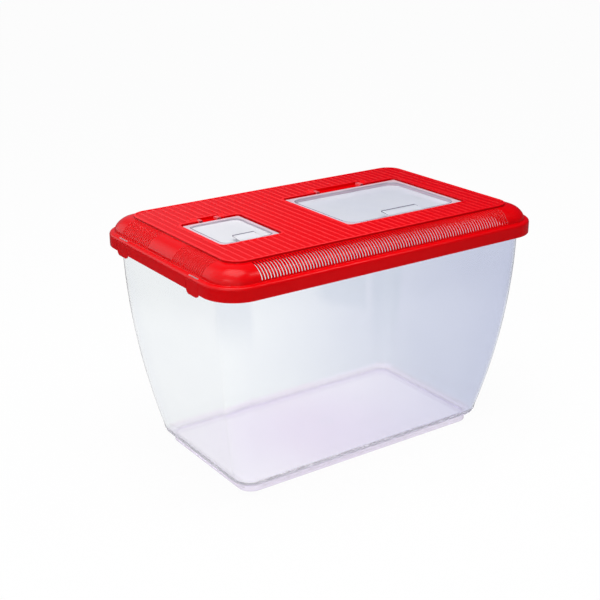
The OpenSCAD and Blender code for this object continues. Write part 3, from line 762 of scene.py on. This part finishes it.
def recess_frame(door):
    """The raised border, wall and floor of a door's recess, as one closed loop.

    Three outlines are paired point by point: the border's, the recess's and the
    opening's, each a list of (reach from the middle, y, rounding) for its right half.
    Each ring of the loop leans from one outline towards another by a share, at its
    own height.
    """
    mid, front, wide, deep, tray, pocket, hinge = door
    half, p = wide / 2, pocket / 2
    low, high = front - RECESS_SIDE, front + deep + RECESS_BACK
    axis = front + deep + hinge
    back = axis + POCKET_BACK
    hole = half - HOLE_IN
    hole_round = tray + RIM_WIDE - HOLE_IN
    reach = min(p + SPARE_PAST, hole - hole_round - SPARE_SHORT)
    edge, more = half + RECESS_SIDE, RAISED_BORDER
    border = [(edge + more, low - more, RECESS_RADIUS + more),
              (edge + more, high + more, RECESS_RADIUS + more),
              (p + KNUCKLE_SIDE, high + more, 0.4),
              (p + KNUCKLE_SIDE, axis + KNUCKLE_BEHIND, 0.6),
              (p + more, axis + KNUCKLE_BEHIND, 0.4), (p + more, back + more, 0.6)]
    recess = [(edge, low, RECESS_RADIUS), (edge, high, RECESS_RADIUS),
              (p + POCKET_SIDE, high, 0.3), (p, high, 0.5), (p, (high + back) / 2, 0.3),
              (p, back, 0.5)]
    hole_rear = front + deep - HOLE_IN
    opening = [(hole, front + HOLE_IN, hole_round), (hole, hole_rear, hole_round),
               *((reach - SPARE_STEP * i, hole_rear, 0.3) for i in range(4))]

    def outline(right_half):
        right = np.array(right_half)
        whole = np.vstack([right, (right * [-1, 1, 1])[::-1]])
        path = np.vstack([whole[-1:], whole, whole[:1]])[:, :2]
        return softened(path, whole[:, 2], 6, (0, 1))[1:-1] + [mid, 0]

    border, recess, opening = (outline(line) for line in (border, recess, opening))
    floor = np.where(recess[:, 1] > high + 1, POCKET_FLOOR, RECESS_FLOOR)
    level = np.full(len(floor), PLATE_TOP)
    hole_top = np.full(len(floor), RECESS_FLOOR)
    under = hole_top - LID_WALL
    rings = [(border, recess, 0, level - LID_WALL), (border, recess, 0, level - 0.15),
             (border, recess, 0.05, level), (recess, border, 0.14, level),
             (recess, border, 0.04, level - 0.1), (recess, border, 0, level - 0.4),
             (recess, opening, 0, floor + 0.4), (recess, opening, 0.08, floor),
             (opening, recess, 0.08, hole_top), (opening, recess, 0, hole_top - 0.35),
             (opening, recess, 0, under), (recess, border, 2 / 3, under),
             (recess, border, 2 / 3, level - LID_WALL)]
    points = np.stack([np.column_stack([one + (other - one) * share, height])
                       for one, other, share, height in rings])
    return points, loft_faces(*points.shape[:2], closed=True), []


def knuckle(door, side):
    """A knuckle turned about the hinge axis: (cos a, sin a) times the radius of each row."""
    mid, front, _, deep, _, pocket, hinge = door
    rows = flat_softened([(KNUCKLE_BORE_DEEP, KNUCKLE_BORE), (0, KNUCKLE_BORE),
                          (0, KNUCKLE_R), (KNUCKLE_LONG, KNUCKLE_R),
                          (KNUCKLE_LONG, KNUCKLE_END)], (0.2, 0.4, 0.9))
    a = np.linspace(0, 2 * np.pi, KNUCKLE_SIDES, endpoint=False)
    x = np.broadcast_to(mid + side * (pocket / 2 + rows[:, :1]), (len(rows), len(a)))
    points = np.stack([x, front + deep + hinge + rows[:, 1:] * np.cos(a),
                       HINGE_AXIS + rows[:, 1:] * np.sin(a)], axis=2)
    return points, loft_faces(*points.shape[:2]), []


# Reds by place: the left of the lid, its right painted darker as shade, painted highlights
# on its ribs' tops, the painted shade under the plate's step, and the linings of its slots
RED_DARK, RED_LIGHT, RED_SHADED_RIGHT = (0.72, 0.0, 0.001), (0.81, 0.0, 0.003), (0.62, 0.0, 0.002)
RIB_HIGHLIGHT_LEFT, RIB_HIGHLIGHT_RIGHT = (0.98, 0.02, 0.026), (0.82, 0.001, 0.006)
STEP_SHADE, SLOT_SHADE = (0.30, 0.0, 0.002), (0.26, 0.0, 0.003)
SLOT_GLOW, LEDGE_SLOT_LIT = (1.0, 0.03, 0.035), (1.0, 0.75, 0.77)
RIGHT_FADE = (-0.05, 0.22)
RIB_TOP_FADE = (0.3015, 0.302)
STEP_FOOT_FADE, STEP_TOP_FADE = (0.2990, 0.2993), (0.3008, 0.3012)
STEP_X, STEP_Y = (0.196, 0.199), (0.112, 0.115)
END_SLOTS_X, RIGHT_SLOTS_X = (0.195, 0.205), (0.0, 0.19)
RED_ROUGH, RED_ROUGH_CLOUDS, SLOT_ROUGHER = 0.14, 0.1, 0.6
RIGHT_SHARE, RIB_SHARE, STEP_SHARE = 0.6, 0.9, 0.5
SLOT_SHADE_SHARE, RIGHT_GLOW_SHARE = 0.5, 0.8
RED_IOR, RED_SPECULAR, PEEL_DEEP = 1.5, 0.14, 0.03 * MM
LID_SHARP_ANGLE = math.radians(30)


def gloss_red():
    """Glossy red plastic: a slightly uneven colour with painted shade and highlights, and a
    fine orange-peel skin.
    """
    finish = Finish(bpy.data.materials.new("gloss_red_plastic"))
    x, y, height = finish.axes()
    to_right = x.ramp(*RIGHT_FADE)
    colour = finish.blend(finish.noise(7.0, 3.0), RED_DARK, RED_LIGHT)
    # Painted shade darkens the lid towards its right; the ribs' tops are painted lighter as
    # highlights, most at the left
    colour = finish.blend(to_right * RIGHT_SHARE, colour, RED_SHADED_RIGHT)
    rib_highlight = finish.blend(to_right, RIB_HIGHLIGHT_LEFT, RIB_HIGHLIGHT_RIGHT)
    colour = finish.blend(height.ramp(*RIB_TOP_FADE) * RIB_SHARE, colour, rib_highlight)
    # The step round the plate lies in shade
    step = height.ramp(*STEP_FOOT_FADE) * (1 - height.ramp(*STEP_TOP_FADE))
    step = step * abs(x).ramp(*STEP_X).most(abs(y).ramp(*STEP_Y))
    colour = finish.blend(step * STEP_SHARE, colour, STEP_SHADE)
    # Painted shade darkens the sides of the long walls' air slots; at the two ends, and
    # partly along the right of the long walls, they are painted with the light that the thin
    # bars let through, and the slots over the clips are painted pale, as light seen through
    # them
    mark = finish.signal("Attribute", "Fac", None, {"attribute_name": "lining"})
    air_slot = mark.ramp(LEDGE_SLOT_MARK + 0.1, AIR_SLOT_MARK - 0.1)
    at_end = abs(x).ramp(*END_SLOTS_X).most(x.ramp(*RIGHT_SLOTS_X) * RIGHT_GLOW_SHARE)
    colour = finish.blend(air_slot * (1 - at_end) * SLOT_SHADE_SHARE, colour, SLOT_SHADE)
    colour = finish.blend(air_slot * at_end, colour, SLOT_GLOW)
    ledge_slot = mark.ramp(0.2, 0.4) * (1 - air_slot)
    colour = finish.blend(ledge_slot, colour, LEDGE_SLOT_LIT)
    rough = (RED_ROUGH + RED_ROUGH_CLOUDS * finish.noise(45.0, 4.0)
             + SLOT_ROUGHER * air_slot)
    peel = finish.bump(finish.noise(420.0, 2.0), PEEL_DEEP, 0.5)
    shader = finish.node("BsdfPrincipled", {
        "Base Color": colour, "Roughness": rough, "IOR": RED_IOR,
        "Specular IOR Level": RED_SPECULAR, "Normal": peel})
    return finish.surface(shader)


red_plastic = gloss_red()
lid_shape = one_mesh("lid_red", [lid_ring, ribbed_plate(),
                                 *(recess_frame(door) for door in DOORS.values()),
                                 *(knuckle(door, side) for door in DOORS.values()
                                   for side in (-1, 1))])
lid = finished_piece("lid_red", lid_shape, red_plastic, "lid", LID_SHARP_ANGLE)
even_shading(lid)
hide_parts("lid")

# -------------------- clips
# Four tongues of the same red plastic hang in windows of the skirt's short sides.
# Each bends at its top when its lower end is pulled out with a finger.
EDGE_WIDTH, EDGE_SEGMENTS = 0.4 * MM, 3
MERGE_WITHIN = 0.004 * MM
FLAT_ANGLE, SHARP_ANGLE = math.radians(1), math.radians(28)


def rounded_piece(node, colour_name, material):
    """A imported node's mesh, merged, with its flat facets joined and its edges rounded."""
    work = bmesh.new()
    work.from_mesh(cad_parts[node].data)
    bmesh.ops.remove_doubles(work, verts=work.verts, dist=MERGE_WITHIN)
    bmesh.ops.dissolve_limit(work, angle_limit=FLAT_ANGLE, verts=work.verts,
                             edges=work.edges)
    shape = bpy.data.meshes.new(node + "_rounded")
    work.to_mesh(shape)
    work.free()
    piece = finished_piece(f"{node}_{colour_name}", shape, material, node, SHARP_ANGLE)
    bevel = piece.modifiers.new("rounded_edges", "BEVEL")
    bevel.width = EDGE_WIDTH
    bevel.segments = EDGE_SEGMENTS
    bevel.limit_method = "ANGLE"
    bevel.angle_limit = SHARP_ANGLE
    bevel.use_clamp_overlap = False
    bevel.miter_outer = "MITER_ARC"
    even_shading(piece)
    return piece


for end in ("left", "right"):
    for half in ("front", "back"):
        node = f"clip_{end}_{half}"
        clip = rounded_piece(node, "red", red_plastic)
        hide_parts(node)

# -------------------- doors
# Two clear mouldings in the lid's recesses: a flat rim, a sunk tray with rounded
# corners, and two arms with stub pins at the back. Each door's latch is a sprung
# tongue of the same plastic at its front, with a raised thumb tab.
CLEAR = (0.985, 0.985, 1.0)
CLOUD_PALE = (0.95, 0.955, 1.0)
RIM_REFLECTION_PINK = (1.0, 0.76, 0.85)
EDGE_SHADE_GREY = (0.60, 0.54, 0.63)
EDGE_SHADE_DARK = (0.16, 0.15, 0.21)
ARM_RED = (0.95, 0.12, 0.14)
EDGE_SHADE_RED = (0.36, 0.0, 0.008)
WALL_LAVENDER = (0.80, 0.62, 0.76)
# The widths of the outer edges painted as shaded red gaps, half the fade at them, the fade
# from rim to arm, the heights of the tray's wall and of the rim, and the painted shade
# lines' half widths
LEFT_EDGE, RIGHT_EDGE, REAR_EDGE, EDGE_FADE = 0.0012, 0.0018, 0.0013, 0.0002
ARM_FADE, RIM_TOP = 0.001, 0.2986
WALL_FOOT_FADE, WALL_TOP_FADE = (0.0002, 0.0012), (0.2978, 0.2984)
BACK_FADE = (-0.05, 0.05)
FINE_LINE, BROAD_LINE, BROAD_LINE_OUT = (0.0002, 0.0008), (0.0004, 0.0011), 0.0008
RIM_HAZE, ARM_HAZE, LINE_HAZE = 0.72, 0.96, 0.92
# The latch's tab: the height where it stands free, how far its rear edge and the front
# end of its side line lie behind the door's front, and its side from its right end
TAB_FADE, TAB_REAR, TAB_SIDE_FROM = (0.3005, 0.301), (0.0189, 0.0195), (0.014, 0.0145)
TAB_SIDE = (-0.0011, -0.0008)


def cloudy(finish, haze_colour):
    """The haze of a tray: its own colour, with paler clouds."""
    return finish.blend(finish.noise(12.0, 3.0), haze_colour, CLOUD_PALE)


def door_plastic(size, tray_top, tray_haze, haze_colour):
    """Clear in the tray, pinkish white in the rim on the red ledge, red in the arms.

    The rim's pinkish white is a painted reflection, and the arms' red is painted as the red
    lid seen through them. A dark line of painted shade follows the rim's inner edge. The
    distance from that edge is the one of a rounded rectangle: length of (qx, qy) where both
    are positive, else the greater, less the corner's radius.
    """
    mid, front, wide, deep, tray, _, _ = (MM * v for v in DOORS[size])
    rim = RIM_WIDE * MM
    finish = Finish(bpy.data.materials.new(f"clear_{size}_door"))
    x, y, z = finish.axes()
    along, across = x - mid, y - (front + deep / 2)
    qx = abs(along) - (wide / 2 - rim - tray)
    qy = abs(across) - (deep / 2 - rim - tray)
    past_x, past_y = qx.most(0.0), qy.most(0.0)
    out = (past_x * past_x + past_y * past_y).root() + qx.most(qy).least(0.0) - tray
    of_arm = across.ramp(deep / 2, deep / 2 + ARM_FADE)
    of_rim = z.ramp(tray_top + 0.0004, RIM_TOP) * (1 - of_arm)
    # The painted shade line is fine at the back and right, broader and darker at the front
    # and left
    back = (along / wide + across / deep).ramp(*BACK_FADE)
    fine_shade = (1 - abs(out).ramp(*FINE_LINE)) * of_rim * back
    broad_shade = (1 - abs(out - BROAD_LINE_OUT).ramp(*BROAD_LINE)) * of_rim * (1 - back)
    # Painted shade: the rim's outer edge is painted the dark red of the shaded gap at the
    # red wall beside it, except at the front
    past_edge = (LEFT_EDGE - wide / 2 - along).most(along - (wide / 2 - RIGHT_EDGE))
    past_edge = past_edge.most(across - (deep / 2 - REAR_EDGE))
    shaded_edge = past_edge.ramp(-EDGE_FADE, EDGE_FADE) * (1 - of_arm)
    # The tray's clear walls are painted with the lavender they show of what lies around
    # them, a painted reflection
    tray_wall = ((z - tray_top).ramp(*WALL_FOOT_FADE) * (1 - z.ramp(*WALL_TOP_FADE))
                 * (1 - of_arm))
    milky = finish.blend(of_rim, cloudy(finish, haze_colour), RIM_REFLECTION_PINK)
    milky = finish.blend(fine_shade, milky, EDGE_SHADE_GREY)
    milky = finish.blend(broad_shade, milky, EDGE_SHADE_DARK)
    milky = finish.blend(tray_wall * 0.8, milky, WALL_LAVENDER)
    milky = finish.blend(shaded_edge, milky, EDGE_SHADE_RED)
    milky = finish.blend(of_arm, milky, ARM_RED)
    clear = finish.blend(fine_shade * 0.5, CLEAR, EDGE_SHADE_GREY)
    share = tray_haze + (RIM_HAZE - tray_haze) * of_rim + (ARM_HAZE - tray_haze) * of_arm
    return clear_mixed(finish, share, clear, milky)


def latch_plastic(size, width, tray_haze, haze_colour):
    """Clear like the tray, with a dark line of painted shade along the tab's rear edge and
    its right end.
    """
    mid, front = DOORS[size][0] * MM, DOORS[size][1] * MM
    finish = Finish(bpy.data.materials.new(f"clear_{size}_latch"))
    x, y, z = finish.axes()
    behind = y - front
    side = (x - (mid + width / 2)).ramp(*TAB_SIDE) * behind.ramp(*TAB_SIDE_FROM)
    line = behind.ramp(*TAB_REAR).most(side)
    line = line * z.ramp(*TAB_FADE)
    milky = finish.blend(line, cloudy(finish, haze_colour), EDGE_SHADE_DARK)
    return clear_mixed(finish, tray_haze + (LINE_HAZE - tray_haze) * line, CLEAR, milky)


# Height of each tray's floor, width of its latch, and share and colour of its haze
TRAYS = {"small": (0.2972, 0.029, 0.66, (0.97, 0.965, 1.0)),
         "large": (0.2952, 0.053, 0.5, (0.85, 0.89, 1.0))}
for size, (tray_top, latch_width, *haze) in TRAYS.items():
    for node, plastic in ((f"{size}_door", door_plastic(size, tray_top, *haze)),
                          (f"{size}_door_latch", latch_plastic(size, latch_width, *haze))):
        part = rounded_piece(node, "clear", plastic)
        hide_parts(node)

# -------------------- table and lights
# A plain white table and a white surround, both pure white to the camera and through
# clear plastic, and grey where gloss mirrors them; a large soft lamp overhead, a
# weaker one at the front left and a small one high at the right.
TABLE_HALF = 20.0
TABLE_LOW = -0.0003
WHITE = (1.0, 1.0, 1.0)
PAPER = (0.93, 0.93, 0.94)
PAPER_GLOW = 0.96
MIRRORED_NEAR, MIRRORED_FAR = (0.64, 0.64, 0.66), (0.12, 0.12, 0.14)
MIRRORED_RING = (0.5, 0.75)


def ray_kinds(finish):
    """1 for rays that see the surface itself or through clear plastic; 1 for glossy rays."""
    rays = finish.node("LightPath")
    seen, through, glossy = (Signal(finish, rays.outputs[f"Is {kind} Ray"])
                             for kind in ("Camera", "Transmission", "Glossy"))
    return seen.most(through), glossy


table_shape = bpy.data.meshes.new("table")
table_shape.from_pydata([(x * TABLE_HALF, y * TABLE_HALF, TABLE_LOW)
                         for x, y in ((-1, -1), (1, -1), (1, 1), (-1, 1))],
                        [], [(0, 1, 2, 3)])
table = bpy.data.objects.new("table", table_shape)
scene.collection.objects.link(table)
finish = Finish(bpy.data.materials.new("white_table"))
seen, mirrored = ray_kinds(finish)
x, y, _ = finish.axes()
reflected = finish.blend(reach_from(x, y, 0.0, 0.0).ramp(*MIRRORED_RING),
                         MIRRORED_NEAR, MIRRORED_FAR)
paper = finish.node("BsdfDiffuse", {"Color": PAPER})
glow = finish.node("Emission", {
    "Color": finish.blend(seen, reflected, WHITE), "Strength": 1.0})
table_shape.materials.append(finish.surface(
    finish.mixed(seen * PAPER_GLOW + mirrored * (1 - seen), paper, glow)))

AMBIENT = (0.34, 0.34, 0.35)
MIRRORED_LEFT, MIRRORED_AHEAD = (1.8, 1.8, 1.9), (0.30, 0.32, 0.38)
MIRRORED_RIGHT = (0.02, 0.025, 0.05)
AHEAD_TO_RIGHT, LEFT_TO_AHEAD = (0.34, 0.62), (-0.40, 0.05)
LAMP_AIM = (0, 0, 0.2)
surround = bpy.data.worlds.new("surround")
scene.world = surround
finish = Finish(surround)
seen, mirrored = ray_kinds(finish)
to_the_right, _, _ = finish.axes("Generated")
mirror = finish.blend(to_the_right.ramp(*AHEAD_TO_RIGHT), MIRRORED_AHEAD, MIRRORED_RIGHT)
mirror = finish.blend(to_the_right.ramp(*LEFT_TO_AHEAD), MIRRORED_LEFT, mirror)
lit = finish.blend(mirrored, AMBIENT, mirror)
shown = finish.blend(seen, lit, WHITE)
finish.surface(finish.node("Background", {"Color": shown, "Strength": 1.0}))


def soft_lamp(name, place, width, depth, power):
    """A soft lamp of this width and depth that faces the keeper."""
    data = bpy.data.lights.new(name, "AREA")
    data.shape = "RECTANGLE"
    data.size, data.size_y, data.energy = width, depth, power
    lamp = bpy.data.objects.new(name, data)
    facing = (Vector(place) - Vector(LAMP_AIM)).to_track_quat("Z", "Y").to_matrix().to_4x4()
    lamp.matrix_world = Matrix.Translation(place) @ facing
    scene.collection.objects.link(lamp)


soft_lamp("overhead", (-0.2, -0.1, 1.7), 1.1, 0.9, 16.5)
soft_lamp("front_left", (-1.4, -0.7, 1.3), 0.9, 0.7, 5.5)
soft_lamp("high_right", (0.95, -0.72, 1.7), 0.45, 0.45, 5)
scene.view_settings.view_transform = "Standard"
